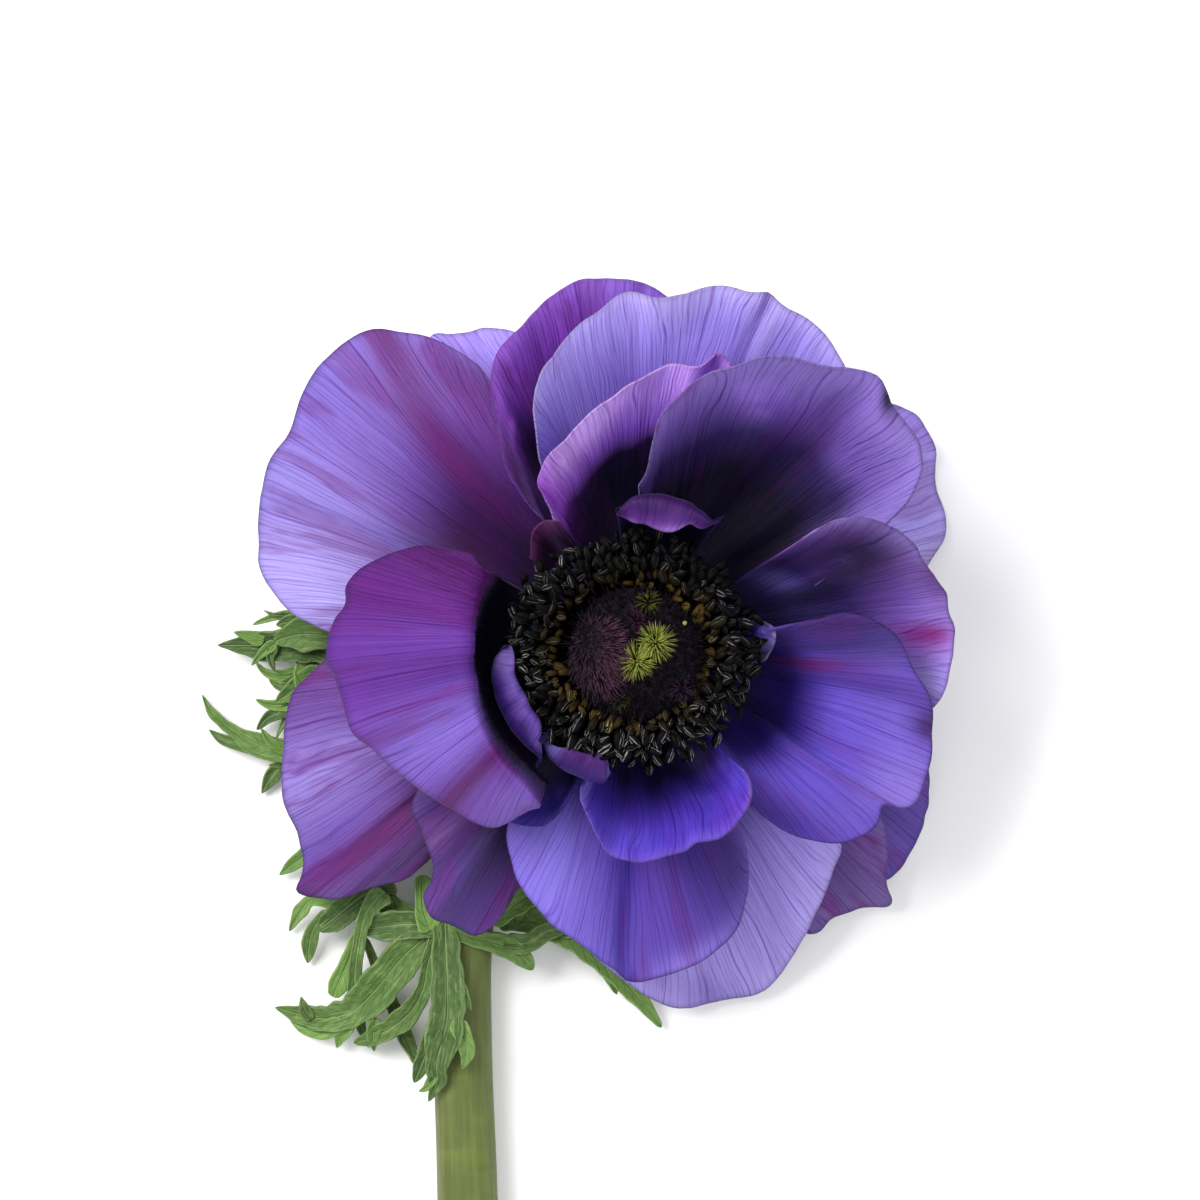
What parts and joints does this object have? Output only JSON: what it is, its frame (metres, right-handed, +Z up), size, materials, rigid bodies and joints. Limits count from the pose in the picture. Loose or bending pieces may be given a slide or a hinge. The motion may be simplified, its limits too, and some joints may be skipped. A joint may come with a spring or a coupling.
{
  "type": "cut anemone flower",
  "caption": "Semi-double anemone flower on a short cut stem, lying down with its face up: ruffled tepals round a dark centre, over a whorl of finely cut bracts.",
  "frame": {"origin": "on the surface that the flower lies on, under the middle of its bounding box", "axes": "+Z up, away from that surface and the way the flower faces; +Y from the cut end of the stem towards the flower head; +X to the flower's right"},
  "size_m": [0.0838, 0.1548, 0.0437],
  "materials": {
    "tepal_violet": "matte",
    "tepal_pale": "matte",
    "tepal_magenta": "matte",
    "tepal_dark": "matte",
    "stamen_black": "matte",
    "carpel_dark": "matte",
    "leaf_green": "satin",
    "stem_green": "satin"
  },
  "bodies": {
    "root": {"tepal_top_left_back": "tepal_pale", "tepal_right_back": "tepal_pale", "tepal_lower_right_back": "tepal_violet", "tepal_lower_right_outer": "tepal_violet", "tepal_lower_left": "tepal_violet", "tepal_upper_left": "tepal_violet", "tepal_top_dark": "tepal_magenta", "tepal_top_pale": "tepal_pale", "tepal_bottom_pale": "tepal_pale", "tepal_lower_left_hanging": "tepal_magenta", "tepal_top_inner": "tepal_violet", "tepal_upper_right_cup": "tepal_violet", "tepal_bottom_keeled": "tepal_violet", "tepal_right_upper": "tepal_magenta", "tepal_inner_right": "tepal_pale", "tepal_right_lower": "tepal_violet", "tepal_lower_left_hidden": "tepal_violet", "tepal_bottom_inner": "tepal_violet", "tepal_left_folded": "tepal_magenta", "tepal_inner_upper_left": "tepal_dark", "tepal_inner_left": "tepal_magenta", "tepal_inner_lower_left": "tepal_magenta", "tepal_inner_top": "tepal_magenta", "receptacle": "leaf_green", "stamens": "stamen_black", "carpel_head": "carpel_dark", "stem": "stem_green", "bract_left": "leaf_green", "bract_front": "leaf_green", "bract_right": "leaf_green"}
  },
  "joints": []
}
